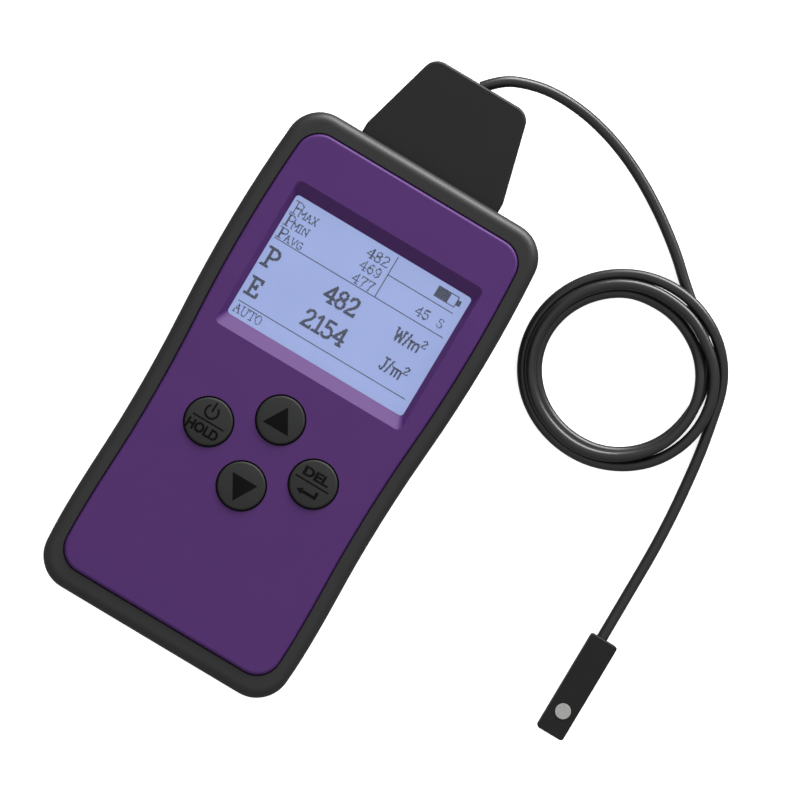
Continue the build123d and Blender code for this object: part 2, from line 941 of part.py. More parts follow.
with BuildPart() as battery_contacts:
    for across, _ in cell_spots:
        for end in (-1, 1):
            wall = bay_middle + end * bay_length / 2
            inner = wall - end * contact_plate
            add(
                block(
                    (across - contact_width / 2, across + contact_width / 2),
                    (min(wall, inner), max(wall, inner)),
                    (cell_axis - contact_width / 2, cell_axis + contact_width / 2),
                )
            )
battery_contacts.part.label = "battery_contacts"
export_step(battery_contacts.part, "parts/battery_contacts.step")

spring_length = cell_low + bay_reach - spring_wire
with BuildPart() as battery_springs:
    for across, way in cell_spots:
        start = (across, bay_middle - way * (bay_reach - spring_wire), cell_axis)
        with BuildLine():
            wire_line = Helix(
                pitch=(spring_length - spring_wire) / spring_turns,
                height=spring_length - spring_wire,
                radius=spring_radius,
                center=start,
                direction=(0, way, 0),
            )
        with BuildSketch(Plane(origin=wire_line @ 0, z_dir=wire_line % 0)):
            Circle(spring_wire)
        sweep(is_frenet=True)
battery_springs.part.label = "battery_springs"
export_step(battery_springs.part, "parts/battery_springs.step")

# ---- Battery door -------------------------------------------------------
with BuildPart() as battery_door:
    with BuildSketch(Plane.YZ.offset(-door_half_width)):
        with BuildLine():
            nose = CenterArc((hinge_y, hinge_z), door_thickness / 2, 90, 180)
            Polyline(nose @ 0, (door_head, door_top), (door_head, shell_back), nose @ 1)
        make_face()
    extrude(amount=2 * door_half_width)
    with BuildSketch(Plane.YZ.offset(-hinge_x)):
        with Locations((hinge_y, hinge_z)):
            Circle(hinge_pin_radius)
    extrude(amount=2 * hinge_x)
    add(
        block(
            (-latch_width / 2, latch_width / 2),
            (bay_head - door_gap - latch_thickness, bay_head - door_gap),
            (door_top, door_top + latch_height),
        )
    )
    for i in range(rib_count):
        rib_y = door_head - rib_from_head - i * rib_pitch
        add(
            block(
                (-rib_width / 2, rib_width / 2),
                (rib_y - rib_length, rib_y),
                (shell_back - rib_height, shell_back),
                rib_corner,
            )
        )
battery_door.part.label = "battery_door"
export_step(battery_door.part, "parts/battery_door.step")

# ---- Sensor board, cord clamp and grommet inside the neck ---------------
with BuildPart() as sensor_board:
    add(
        block(
            (-sensor_board_half_width, sensor_board_half_width),
            (sensor_board_foot, sensor_board_foot + sensor_board_length),
            (sensor_board_low, sensor_board_top),
        )
    )
sensor_board.part.label = "sensor_board"
export_step(sensor_board.part, "parts/sensor_board.step")

with BuildPart() as sensor_chips:
    for across, up in sensor_chip_places:
        middle = sensor_board_foot + up
        add(
            block(
                (across - sensor_chip_width / 2, across + sensor_chip_width / 2),
                (middle - sensor_chip_length / 2, middle + sensor_chip_length / 2),
                (sensor_board_top, sensor_board_top + sensor_chip_height),
            )
        )
sensor_chips.part.label = "sensor_chips"
export_step(sensor_chips.part, "parts/sensor_chips.step")

with BuildPart() as sensor_ribbon:
    plug_end = board_head - socket_places[0][1] + socket_length / 2
    plug_height = board_low - socket_height / 2
    with BuildLine(Plane.YZ):
        FilletPolyline(
            (plug_end, plug_height),
            (sensor_board_foot - ribbon_lap - ribbon_slope, plug_height),
            (sensor_board_foot - ribbon_lap, sensor_board_top),
            (sensor_board_foot + ribbon_lap, sensor_board_top),
            radius=ribbon_bend,
        )
    make_brake_formed(ribbon_thickness, ribbon_width)
sensor_ribbon.part.label = "sensor_ribbon"
export_step(sensor_ribbon.part, "parts/sensor_ribbon.step")

with BuildPart() as cord_clamp:
    add(
        block(
            (-clamp_width / 2, clamp_width / 2),
            (clamp_y - clamp_length / 2, clamp_y + clamp_length / 2),
            (clamp_seat, clamp_seat + clamp_height),
        )
    )
    with BuildSketch(Plane.XZ.offset(-clamp_y - clamp_length / 2)):
        with Locations((0, exit_z)):
            Circle(cord_radius)
        with Locations((0, exit_z - cord_radius / 2)):
            Rectangle(cord_diameter, cord_radius)
    extrude(amount=clamp_length, mode=Mode.SUBTRACT)
    for spot in clamp_spots:
        add(
            rod(
                spot,
                clamp_screw_shank + screw_clearance / 2,
                clamp_seat,
                clamp_seat + clamp_height,
            ),
            mode=Mode.SUBTRACT,
        )
cord_clamp.part.label = "cord_clamp"
export_step(cord_clamp.part, "parts/cord_clamp.step")

with BuildPart() as clamp_screws:
    with Locations(
        *[Location((x, y, clamp_seat + clamp_height), (180, 0, 0)) for x, y in clamp_spots]
    ):
        add(screw(clamp_screw_head, clamp_screw_head_height, clamp_screw_shank, clamp_screw_length))
clamp_screws.part.label = "clamp_screws"
export_step(clamp_screws.part, "parts/clamp_screws.step")

with BuildPart() as cable_grommet:
    with BuildSketch(Plane.XZ.offset(-neck_y)):
        with Locations((0, exit_z)):
            Circle(grommet_radius)
    extrude(amount=neck_wall)
    with BuildSketch(Plane.XZ.offset(-neck_y + neck_wall)):
        with Locations((0, exit_z)):
            Circle(grommet_flange_radius)
    extrude(amount=grommet_flange)
    with BuildSketch(Plane.XZ.offset(-neck_y)):
        with Locations((0, exit_z)):
            Circle(cord_radius + cord_bore_clearance)
    extrude(amount=neck_wall + grommet_flange, mode=Mode.SUBTRACT)
cable_grommet.part.label = "cable_grommet"
export_step(cable_grommet.part, "parts/cable_grommet.step")

with BuildPart() as cord_inner:
    with BuildSketch(Plane.XZ.offset(-neck_y)):
        with Locations((0, exit_z)):
            Circle(cord_radius)
    extrude(amount=inner_cord_length)
cord_inner.part.label = "cord_inner"
export_step(cord_inner.part, "parts/cord_inner.step")


# ---- Cord ---------------------------------------------------------------
def cord_path_radii(points):
    """The largest arc at each bend that its two runs leave room for."""
    radii = []
    for before, here, after in zip(points, points[1:], points[2:]):
        run_in, run_out = Vector(*here) - Vector(*before), Vector(*after) - Vector(*here)
        turn = radians(run_in.get_angle(run_out))
        radii.append(arc_share * min(run_in.length, run_out.length) / tan(turn / 2))
    return radii


cord_exit = (0, neck_y, exit_z)
for name, offsets in (("cord_lead", lead_points), ("cord_tail", tail_points)):
    points = [tuple(a + b for a, b in zip(cord_exit, offset)) for offset in offsets]
    radii = cord_path_radii(points)
    print(name, "bend radii", [round(radius, 1) for radius in radii])
    with BuildPart() as tube:
        with BuildLine() as route:
            FilletPolyline(*points, radius=radii)
        line = route.line
        with BuildSketch(Plane(origin=line @ 0, z_dir=line % 0)):
            Circle(cord_radius)
        sweep()
    length = sum(edge.length for edge in line.edges())
    swept = tube.part.volume / (pi * cord_radius**2)
    print(name, "length", round(length, 1), "volume over section", round(swept, 1))
    tube.part.label = name
    export_step(tube.part, f"parts/{name}.step")

with BuildPart() as cord_coil:
    with BuildSketch():
        with Locations((coil_centre[0], neck_y + coil_centre[1])):
            Circle(coil_outer_radius)
            Circle(coil_inner_radius, mode=Mode.SUBTRACT)
    extrude(amount=coil_height)
    fillet(cord_coil.edges().group_by(Axis.Z)[-1], coil_round)
cord_coil.part.label = "cord_coil"
export_step(cord_coil.part, "parts/cord_coil.step")

# ---- Probe --------------------------------------------------------------
probe_x = cord_exit[0] + tail_points[-1][0] + probe_cord_offset
probe_near = cord_exit[1] + tail_points[-1][1] + probe_cord_inside
probe_tip = probe_near - probe_length
probe_sides = (probe_x - probe_width / 2, probe_x + probe_width / 2)
optic_spot = (probe_x, probe_tip + diffuser_from_tip)
probe_ceiling = probe_height - probe_wall
probe_screw_spots = [
    (probe_x, probe_tip + probe_screw_from_end),
    (probe_x, probe_near - probe_screw_from_cord),
]
diffuser_top = probe_height + diffuser_proud
diffuser_low = diffuser_top - diffuser_thickness
filter_top = diffuser_low - optic_clearance
probe_board_low = probe_cover_thickness + probe_board_gap
probe_board_top = probe_board_low + probe_board_thickness

with BuildPart() as probe_body:
    add(block(probe_sides, (probe_tip, probe_near), (probe_cover_thickness, probe_height), probe_corner))
    fillet(probe_body.edges().group_by(Axis.Z)[-1], probe_round)
    add(
        block(
            (probe_sides[0] + probe_wall, probe_sides[1] - probe_wall),
            (probe_tip + probe_wall, probe_near - probe_wall),
            (probe_cover_thickness, probe_ceiling),
        ),
        mode=Mode.SUBTRACT,
    )
    for spot in probe_screw_spots:
        add(rod(spot, probe_post_radius, probe_cover_thickness, probe_ceiling))
    for spot in probe_screw_spots:
        pilot_top = probe_ceiling - probe_pilot_end
        add(rod(spot, probe_pilot, probe_cover_thickness, pilot_top), mode=Mode.SUBTRACT)
    add(rod(optic_spot, diffuser_radius + optic_clearance, probe_ceiling, probe_height), mode=Mode.SUBTRACT)
    with BuildSketch(Plane.XZ.offset(-probe_near)):
        with Locations((cord_exit[0] + tail_points[-1][0], exit_z + tail_points[-1][2])):
            Circle(cord_radius + cord_bore_clearance)
    extrude(amount=probe_wall, mode=Mode.SUBTRACT)
probe_body.part.label = "probe_body"
export_step(probe_body.part, "parts/probe_body.step")

with BuildPart() as probe_cover:
    add(block(probe_sides, (probe_tip, probe_near), (0, probe_cover_thickness), probe_corner))
    for spot in probe_screw_spots:
        add(rod(spot, probe_screw_shank + optic_clearance, 0, probe_cover_thickness), mode=Mode.SUBTRACT)
        add(
            rod(spot, probe_screw_head + optic_clearance, 0, probe_screw_head_height),
            mode=Mode.SUBTRACT,
        )
probe_cover.part.label = "probe_cover"
export_step(probe_cover.part, "parts/probe_cover.step")

with BuildPart() as probe_diffuser:
    add(rod(optic_spot, diffuser_radius, diffuser_low, diffuser_top))
    fillet(probe_diffuser.edges().group_by(Axis.Z)[-1], diffuser_proud / 2)
probe_diffuser.part.label = "probe_diffuser"
export_step(probe_diffuser.part, "parts/probe_diffuser.step")

with BuildPart() as probe_filter:
    add(rod(optic_spot, filter_radius, filter_top - filter_thickness, filter_top))
probe_filter.part.label = "probe_filter"
export_step(probe_filter.part, "parts/probe_filter.step")

with BuildPart() as probe_sensor:
    add(
        block(
            (optic_spot[0] - sensor_side / 2, optic_spot[0] + sensor_side / 2),
            (optic_spot[1] - sensor_side / 2, optic_spot[1] + sensor_side / 2),
            (probe_board_top, filter_top - filter_thickness - optic_clearance),
        )
    )
probe_sensor.part.label = "probe_sensor"
export_step(probe_sensor.part, "parts/probe_sensor.step")

with BuildPart() as probe_board:
    end_room = probe_post_radius + probe_board_gap
    add(
        block(
            (probe_sides[0] + probe_wall + probe_board_gap, probe_sides[1] - probe_wall - probe_board_gap),
            (probe_screw_spots[0][1] + end_room, probe_screw_spots[1][1] - end_room),
            (probe_board_low, probe_board_top),
        )
    )
probe_board.part.label = "probe_board"
export_step(probe_board.part, "parts/probe_board.step")

with BuildPart() as probe_screws:
    with Locations(*[(x, y, probe_screw_head_height) for x, y in probe_screw_spots]):
        add(screw(probe_screw_head, probe_screw_head_height, probe_screw_shank, probe_screw_length))
probe_screws.part.label = "probe_screws"
export_step(probe_screws.part, "parts/probe_screws.step")
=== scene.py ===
# %% [markdown]
# # A handheld ultraviolet meter with a small probe on a coiled cord
#
# The meter is a purple moulded shell in a black rubber boot, with a backlit
# dot-matrix display, four rubber keys and a probe on a thin cord. Its shape comes
# ready made as a fixed frame of solid parts. This lesson adds what a solid can't
# say: the camera, the cord's loose coil, the dots of the display, the ink on the
# keys, and a finish for every part.

# %% Load the frame
import json
import math

import bmesh
import bpy
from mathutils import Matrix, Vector


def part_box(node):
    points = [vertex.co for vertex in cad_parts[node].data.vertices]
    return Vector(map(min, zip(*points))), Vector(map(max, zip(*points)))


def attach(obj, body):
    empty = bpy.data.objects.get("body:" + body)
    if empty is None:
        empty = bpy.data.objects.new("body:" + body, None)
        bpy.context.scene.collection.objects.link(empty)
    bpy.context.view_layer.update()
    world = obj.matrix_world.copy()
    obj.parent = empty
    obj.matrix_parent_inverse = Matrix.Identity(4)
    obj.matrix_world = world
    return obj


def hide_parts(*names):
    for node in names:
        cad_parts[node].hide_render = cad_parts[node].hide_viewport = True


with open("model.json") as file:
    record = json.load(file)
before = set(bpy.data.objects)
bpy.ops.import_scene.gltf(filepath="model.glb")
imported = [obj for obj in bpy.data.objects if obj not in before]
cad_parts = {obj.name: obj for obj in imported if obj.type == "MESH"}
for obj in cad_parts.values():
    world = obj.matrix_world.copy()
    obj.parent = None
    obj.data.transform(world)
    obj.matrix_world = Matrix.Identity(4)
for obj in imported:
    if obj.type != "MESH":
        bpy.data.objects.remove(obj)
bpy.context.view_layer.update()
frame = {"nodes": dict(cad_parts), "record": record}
nodes = frame["nodes"]
MM = 0.001

# %% [markdown]
# ## The camera
#
# The meter lies on its back on a table and is seen from straight above, turned
# clockwise by about a third of a right angle. A long lens from about a metre away
# keeps the perspective slight. The same view could be had by turning every part,
# but turning the camera leaves all of them where they are.

# %% Camera straight above, turned about its own axis
CAMERA_PLACE = (0.0238, 0.00268, 0.967)
VIEW_TURN = math.radians(30.9)
FOCAL_LENGTH = 163.8  # in mm, behind a sensor of the size below
SENSOR_WIDTH = 36.0

lens = bpy.data.cameras.new("camera")
lens.lens = FOCAL_LENGTH
lens.sensor_width = SENSOR_WIDTH
camera = bpy.data.objects.new("camera", lens)
camera.location = CAMERA_PLACE
camera.rotation_euler = (0, 0, VIEW_TURN)
bpy.context.scene.collection.objects.link(camera)
bpy.context.scene.camera = camera
print("camera", round(CAMERA_PLACE[2] / MM), "mm above the table")

# %% [markdown]
# ## The cord
#
# A thin round cord leaves the neck, sinks in one long bow to the table, is wound
# three times round in a loose coil, and runs on to the probe. It could be a tube
# swept along arcs, but that looks like bent wire. One smooth spline drawn through
# the air, with a round bevel, bends as a real cord does. The turns lie beside each
# other on the table and climb over each other, each a cord's width from the next.

# %% Where the cord leaves the neck, and the way to the coil and from it
CORD_DIAMETER = 3.0 * MM
CORD_EXIT = Vector((0, 84.0, 12.5)) * MM
LEAD_STEPS = [
    (0.0, 0.0, 0.0), (3.2, 3.8, -0.2), (8.4, 6.8, -1.2), (17.2, 9.1, -3.6), (29.3, 8.6, -7.0),
    (42.0, 5.0, -9.8), (54.6, -1.5, -11.0), (66.4, -10.0, -11.0), (73.4, -16.6, -11.0),
]
TAIL_STEPS = [
    (97.8, -44.3, -11.0), (99.8, -54.7, -11.0), (102.0, -76.0, -11.0),
    (102.1, -97.4, -10.9), (102.1, -109.5, -9.9),
]

# %% The coil: how far out and how high the cord lies as it goes round
COIL_CENTRE = CORD_EXIT + Vector((70.2, -44.2, -12.5)) * MM
COIL_START = 51  # the direction from the coil's centre to its first point, in degrees
COIL_DEGREES = 1110
TURN_STEP = 18.5
# degrees gone round, radius in mm, height of the cord's middle in mm
COIL_STATIONS = [
    (0, 23.6, 1.5), (30, 22.4, 1.5), (51, 21.6, 1.5), (141, 22.4, 1.5), (200, 23.0, 1.5),
    (290, 20.8, 1.5), (321, 20.0, 1.5), (350, 20.2, 1.6), (375, 20.7, 3.6), (390, 21.1, 4.4),
    (411, 21.7, 4.6), (450, 22.8, 4.4), (501, 24.0, 4.1), (560, 24.8, 4.1), (650, 22.9, 4.3),
    (681, 22.5, 4.6), (720, 23.2, 4.9), (750, 24.8, 4.9), (771, 25.6, 4.3), (810, 25.9, 2.6),
    (840, 25.8, 1.6), (861, 25.9, 1.5), (920, 26.8, 1.5), (1011, 25.6, 2.8), (1041, 25.7, 4.5),
    (1062, 26.0, 4.7), (1080, 26.4, 4.2), (1095, 26.9, 3.1), (1110, 27.2, 1.9),
]


def coil_point(gone):
    """The cord's middle after it has gone round by that many degrees."""
    for (a, radius_a, height_a), (b, radius_b, height_b) in zip(COIL_STATIONS, COIL_STATIONS[1:]):
        if gone <= b:
            share = (gone - a) / (b - a)
            share = share * share * (3 - 2 * share)
            radius = radius_a + (radius_b - radius_a) * share
            height = height_a + (height_b - height_a) * share
            break
    angle = math.radians(COIL_START - gone)
    return COIL_CENTRE + Vector((radius * math.cos(angle), radius * math.sin(angle), height)) * MM


# %% The spline
route = [CORD_EXIT + Vector(step) * MM for step in LEAD_STEPS]
route += [coil_point(i * TURN_STEP) for i in range(round(COIL_DEGREES / TURN_STEP) + 1)]
route += [CORD_EXIT + Vector(step) * MM for step in TAIL_STEPS]

cord_line = bpy.data.curves.new("probe_cord", "CURVE")
cord_line.dimensions = "3D"
spline = cord_line.splines.new("NURBS")
spline.points.add(len(route) - 1)
for control, place in zip(spline.points, route):
    control.co = (*place, 1)
    control.radius = CORD_DIAMETER / 2
spline.order_u = 3
spline.use_endpoint_u = True
spline.resolution_u = 8
probe_cord = bpy.data.objects.new("probe_cord", cord_line)
bpy.context.scene.collection.objects.link(probe_cord)

bare_line = bpy.data.meshes.new_from_object(probe_cord)
bpy.data.meshes.remove(bare_line)
cord_line.bevel_depth = 1.0  # times each point's own radius
cord_line.bevel_resolution = 5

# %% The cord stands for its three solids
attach(probe_cord, "root")
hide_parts("cord_lead", "cord_coil", "cord_tail")

# %% [markdown]
# ## Finishes
#
# Every finish starts from one shader whose plain numbers are the material's own:
# its colour, how rough it is and how much it mirrors. Patterns come from noise in
# the object's own coordinates, whose scale is worked out from a real size in
# millimetres. Pictures could do the same, but a pattern made of nodes has no seams
# and needs no unwrapping.

# %% Two helpers: a colour, and a node with its settings and links


def linear(code):
    """An sRGB hex colour as the linear colour that a shader takes."""
    channels = [int(code[i : i + 2], 16) / 255 for i in (1, 3, 5)]
    return (*[c / 12.92 if c <= 0.04045 else ((c + 0.055) / 1.055) ** 2.4 for c in channels], 1.0)


def put(tree, kind, sockets=None, **settings):
    """Adds a node. Settings are its own, and sockets gives each input a value or a link."""
    node = tree.nodes.new(kind)
    for name, value in settings.items():
        setattr(node, name, value)
    for name, value in (sockets or {}).items():
        if isinstance(value, bpy.types.NodeSocket):
            tree.links.new(value, node.inputs[name])
        else:
            node.inputs[name].default_value = value
    return node


# %% A finish: one shader, a soft change of colour and a fine grain
PATCH_DETAIL, GRAIN_DETAIL = 3.0, 2.0
SHARP_GRAIN = 0.62


def finish(name, dark, light, patch_mm, grain_mm, grain_depth_mm, stretch=(1, 1, 1), **shader):
    """A material whose colour drifts from dark to light over patches, with a grain of bumps."""
    material = bpy.data.materials.new(name)
    material.use_nodes = True
    tree = material.node_tree
    tree.nodes.clear()
    where = put(tree, "ShaderNodeTexCoord", name="where").outputs["Object"]
    drawn = put(tree, "ShaderNodeMapping", {"Vector": where, "Scale": stretch}).outputs["Vector"]
    patches = put(
        tree, "ShaderNodeTexNoise",
        {"Vector": where, "Scale": 1 / (patch_mm * MM), "Detail": PATCH_DETAIL},
    )
    colour = put(
        tree, "ShaderNodeMix",
        {"Factor": patches.outputs["Fac"], 6: linear(dark), 7: linear(light)}, data_type="RGBA",
    )
    grain = put(
        tree, "ShaderNodeTexNoise",
        {
            "Vector": drawn, "Scale": 1 / (grain_mm * MM), "Detail": GRAIN_DETAIL,
            "Roughness": SHARP_GRAIN,
        },
    )
    bumps = put(
        tree, "ShaderNodeBump", {"Height": grain.outputs["Fac"], "Distance": grain_depth_mm * MM},
    )
    surface = put(
        tree, "ShaderNodeBsdfPrincipled",
        {"Base Color": colour.outputs[2], "Normal": bumps.outputs["Normal"]}, name="surface",
    )
    for socket, value in shader.items():
        surface.inputs[socket.replace("_", " ")].default_value = value
    put(tree, "ShaderNodeOutputMaterial", {"Surface": surface.outputs["BSDF"]})
    return material


# %% [markdown]
# ### The outside: moulded plastic and rubber
#
# The boot and the keys are injection moulded rubber, matt and slightly dusty. The
# shells are ABS from a spark-eroded mould, whose finish is a satin of tiny pits.
# Such pits are about 0.1 mm across, too fine to show, so they are drawn several
# times as coarse and very shallow.

# %% Rubber, ABS, PVC and PTFE
finishes = {
    # thermoplastic rubber moulded over the shells: matt, with a faint bloom
    "boot_rubber": finish(
        "moulded_boot_rubber", "#131413", "#191a19", 9.0, 0.7, 0.02,
        Roughness=0.5, IOR=1.5, Specular_IOR_Level=0.5,
    ),
    # ABS from a spark-eroded mould: satin purple
    "purple_abs": finish(
        "spark_eroded_purple_abs", "#472562", "#4c2865", 14.0, 0.6, 0.02,
        Roughness=0.5, IOR=1.53, Specular_IOR_Level=0.2,
    ),
    # the same ABS in charcoal: rear shell, neck and battery door
    "dark_abs": finish(
        "spark_eroded_charcoal_abs", "#0f0f0f", "#141414", 12.0, 0.6, 0.02,
        Roughness=0.5, IOR=1.53, Specular_IOR_Level=0.28,
    ),
    # silicone key caps, a greyer matt than the boot
    "key_silicone": finish(
        "matt_key_silicone", "#202220", "#252725", 5.0, 0.5, 0.02,
        Roughness=0.6, IOR=1.41, Specular_IOR_Level=0.4,
    ),
    # soft PVC drawn over the wires: satin and smooth
    "cord_jacket": finish(
        "extruded_pvc_jacket", "#141414", "#1a1a1a", 4.0, 0.9, 0.02,
        Roughness=0.36, IOR=1.53, Specular_IOR_Level=0.5,
    ),
    # ABS again, from a smoother mould
    "probe_shell": finish(
        "moulded_probe_abs", "#0e0e0e", "#121212", 6.0, 0.5, 0.02,
        Roughness=0.5, IOR=1.53, Specular_IOR_Level=0.24,
    ),
    # sintered PTFE: scatters light evenly, so it looks like chalk
    "white_diffuser": finish(
        "sintered_ptfe", "#949492", "#a2a2a0", 1.5, 0.25, 0.02,
        Roughness=0.7, IOR=1.35, Subsurface_Weight=0.2, Subsurface_Scale=0.6 * MM,
    ),
}
print(len(finishes), "outside finishes")

# %% [markdown]
# ### The inside: boards, contacts and cells
#
# These show only when the battery door swings open or the case is taken apart, but
# they are real parts, so each has its own finish. Metals differ from plastics in
# one number, metallic, and in how rough they are. Drawn wire and plated sheet get
# their grain stretched along one direction.

# %% Metals
finishes["spring_steel"] = finish(
    "drawn_spring_steel", "#9a9a9c", "#b8b8ba", 3.0, 0.4, 0.01, (1, 1, 0.1),
    Metallic=1.0, Roughness=0.32,
)
finishes["zinc_screws"] = finish(
    "zinc_plated_steel", "#a9acb0", "#c9ccd0", 1.5, 0.3, 0.01, Metallic=1.0, Roughness=0.34,
)
finishes["nickel_plate"] = finish(
    "nickel_plated_strip", "#bdb8ae", "#d2cdc4", 2.5, 0.4, 0.01, (1, 0.15, 1),
    Metallic=1.0, Roughness=0.25,
)
finishes["gold_pads"] = finish(
    "gold_flashed_copper", "#d9b45c", "#ecca78", 1.5, 0.2, 0.005, Metallic=1.0, Roughness=0.28,
)
finishes["capacitor_can"] = finish(
    "drawn_aluminium_can", "#b9bbc0", "#d4d6da", 2.0, 0.3, 0.01, (1, 1, 0.1),
    Metallic=1.0, Roughness=0.3,
)

# %% Boards, sockets and cells
finishes["green_board"] = finish(
    "solder_resist_on_glass_epoxy", "#0c4a26", "#12602f", 6.0, 0.5, 0.02, Roughness=0.3, IOR=1.55,
)
finishes["chip_epoxy"] = finish(
    "moulded_chip_epoxy", "#181818", "#202020", 1.0, 0.15, 0.01, Roughness=0.6, IOR=1.55,
)
finishes["socket_nylon"] = finish(
    "natural_nylon", "#cfc9b4", "#ddd8c6", 2.0, 0.3, 0.01,
    Roughness=0.5, IOR=1.53, Subsurface_Weight=0.1,
)
finishes["carbon_pill"] = finish(
    "carbon_filled_silicone", "#0a0a0a", "#121212", 1.0, 0.2, 0.01, Roughness=0.8, IOR=1.45,
)
finishes["battery_wrap"] = finish(
    "heat_shrunk_sleeve", "#1d2a3a", "#243448", 8.0, 1.2, 0.02, Roughness=0.25, IOR=1.57,
)

# %% [markdown]
# ### The display: a lit panel behind a clear window
#
# Behind the window, edge light shines through the liquid crystal glass, so it is
# seen by its own light more than by the room's. The shader's emission does that,
# in the same lavender as its colour. The window is acrylic, which lets light
# straight through and mirrors a little at its surface.

# %% Lit and clear parts
LCD_LIGHT = 0.88
GLOW_PATCH = 22 * MM

finishes["light_guide"] = finish(
    "white_light_guide", "#dfe4f2", "#eceffa", 6.0, 0.5, 0.01, Roughness=0.4, IOR=1.49,
)
finishes["lcd_glass"] = finish(
    "backlit_polariser_film", "#4a5270", "#525a7a", 18.0, 0.5, 0.003, Roughness=0.45, IOR=1.5,
)
lit = finishes["lcd_glass"].node_tree
glow_patches = put(
    lit, "ShaderNodeTexNoise",
    {"Vector": lit.nodes["where"].outputs["Object"], "Scale": 1 / GLOW_PATCH, "Detail": 1.0},
)
glow = put(
    lit, "ShaderNodeMix",
    {"Factor": glow_patches.outputs["Fac"], 6: linear("#97a8db"), 7: linear("#a1b2e3")},
    data_type="RGBA",
)
lit.links.new(glow.outputs[2], lit.nodes["surface"].inputs["Emission Color"])
lit.nodes["surface"].inputs["Emission Strength"].default_value = LCD_LIGHT
finishes["clear_acrylic"] = finish(
    "polished_clear_acrylic", "#f4f6fa", "#fafbff", 20.0, 3.0, 0.0,
    Roughness=0.0, IOR=1.49, Transmission_Weight=1.0,
)
finishes["filter_glass"] = finish(
    "ultraviolet_filter_glass", "#1b0f38", "#24144a", 2.0, 3.0, 0.0,
    Roughness=0.03, IOR=1.52, Transmission_Weight=0.5,
)
print(len(finishes), "finishes in all")

# %% Each solid takes the finish of its slot
for part in frame["record"]["subparts"]:
    mesh = nodes[part["node"]].data
    mesh.materials.clear()
    mesh.materials.append(finishes[part["material_slot"]])
probe_cord.data.materials.append(finishes["cord_jacket"])

# %% [markdown]
# ## The display's dots
#
# A dot-matrix display shows everything as square dots on one grid. Each letter is
# written here as a few pen strokes, and a dot is dark where it lies within half a
# pen's width of a stroke. Letters drawn as fixed tables of dots would need one
# table for each size. The dots are then one square plate, put on every dark place
# by Geometry Nodes.

# %% Pen strokes of the display's letters, in a box one high
STROKES = {
    "P": (0.8, "0,0 .42,0|.2,0 .2,1|0,1 .5,1 .7,.93 .78,.76 .7,.58 .5,.5 .2,.5"),
    "E": (0.85, "0,0 .75,0 .75,.2|.2,0 .2,1|0,1 .72,1 .72,.82|.2,.52 .5,.52|.5,.62 .5,.42"),
    "M": (1.0, "0,0 .25,0|.12,0 .12,1 .5,.35 .86,1 .86,0|.72,0 .98,0|0,1 .12,1|.86,1 .98,1"),
    "A": (0.9, "0,0 .25,0|.1,0 .43,1 .76,0|.6,0 .88,0|.24,.38 .62,.38"),
    "X": (0.85, ".1,1 .72,0|.72,1 .1,0|0,0 .2,0|.6,0 .84,0|0,1 .2,1|.6,1 .84,1"),
    "I": (0.5, ".22,0 .22,1|0,0 .44,0|0,1 .44,1"),
    "N": (0.95, ".14,0 .14,1 .8,0 .8,1|0,0 .28,0|.66,1 .94,1"),
    "V": (0.9, ".1,1 .45,0 .8,1|0,1 .2,1|.7,1 .9,1"),
    "G": (0.9, ".72,.8 .55,1 .3,1 .1,.8 .05,.5 .12,.2 .3,0 .55,0 .72,.15 .72,.42 .5,.42"),
    "U": (0.95, ".14,1 .14,.25 .3,0 .6,0 .76,.25 .76,1|0,1 .28,1|.62,1 .9,1"),
    "T": (0.85, ".4,0 .4,1|0,.82 0,1 .8,1 .8,.82|.24,0 .56,0"),
    "O": (0.9, ".3,0 .1,.2 .04,.5 .1,.8 .3,1 .52,1 .72,.8 .78,.5 .72,.2 .52,0 .3,0"),
    "W": (1.05, ".08,1 .28,0 .5,.85 .72,0 .92,1|0,1 .18,1|.82,1 1,1"),
    "m": (1.0, "0,.64 .12,.64 .12,0|.12,.5 .25,.62 .42,.62 .5,.5 .5,0|.5,.5 .63,.62 .8,.62 .88,.5 .88,0"),
    "J": (0.62, "0,.14 .1,.02 .25,.02 .34,.14 .36,.3 .36,1|.18,1 .56,1"),
    "/": (0.4, "0,-.04 .32,1.04"),
    "S": (0.75, ".6,.82 .5,.97 .3,1 .1,.9 .08,.7 .3,.55 .52,.45 .62,.28 .55,.08 .32,0 .1,.06 .03,.2"),
    "1": (0.6, ".08,.82 .3,1 .3,0|.06,0 .54,0"),
    "2": (0.78, ".06,.76 .14,.93 .35,1 .56,.93 .62,.74 .5,.52 .2,.24 .04,0 .66,0 .66,.14"),
    "4": (0.8, ".54,0 .54,1 .02,.3 .74,.3|.4,0 .68,0"),
    "5": (0.78, ".6,1 .14,1 .1,.56 .34,.64 .56,.54 .66,.32 .56,.08 .34,0 .14,.04 .04,.16"),
    "6": (0.78, ".6,.88 .4,1 .2,.86 .08,.52 .08,.26 .2,.06 .38,0 .58,.1 .66,.3 .56,.52 .36,.6 .14,.46"),
    "7": (0.78, ".04,.84 .04,1 .68,1 .42,.5 .32,0"),
    "8": (0.78, ".35,.54 .14,.62 .1,.78 .18,.95 .35,1 .52,.95 .6,.78 .56,.62 .35,.54"
                "|.35,.54 .12,.44 .04,.26 .14,.06 .35,0 .56,.06 .66,.26 .58,.44 .35,.54"),
    "9": (0.78, ".1,.12 .3,0 .5,.14 .62,.48 .62,.74 .5,.94 .32,1 .12,.9 .04,.7 .14,.48 .34,.4 .56,.54"),
}

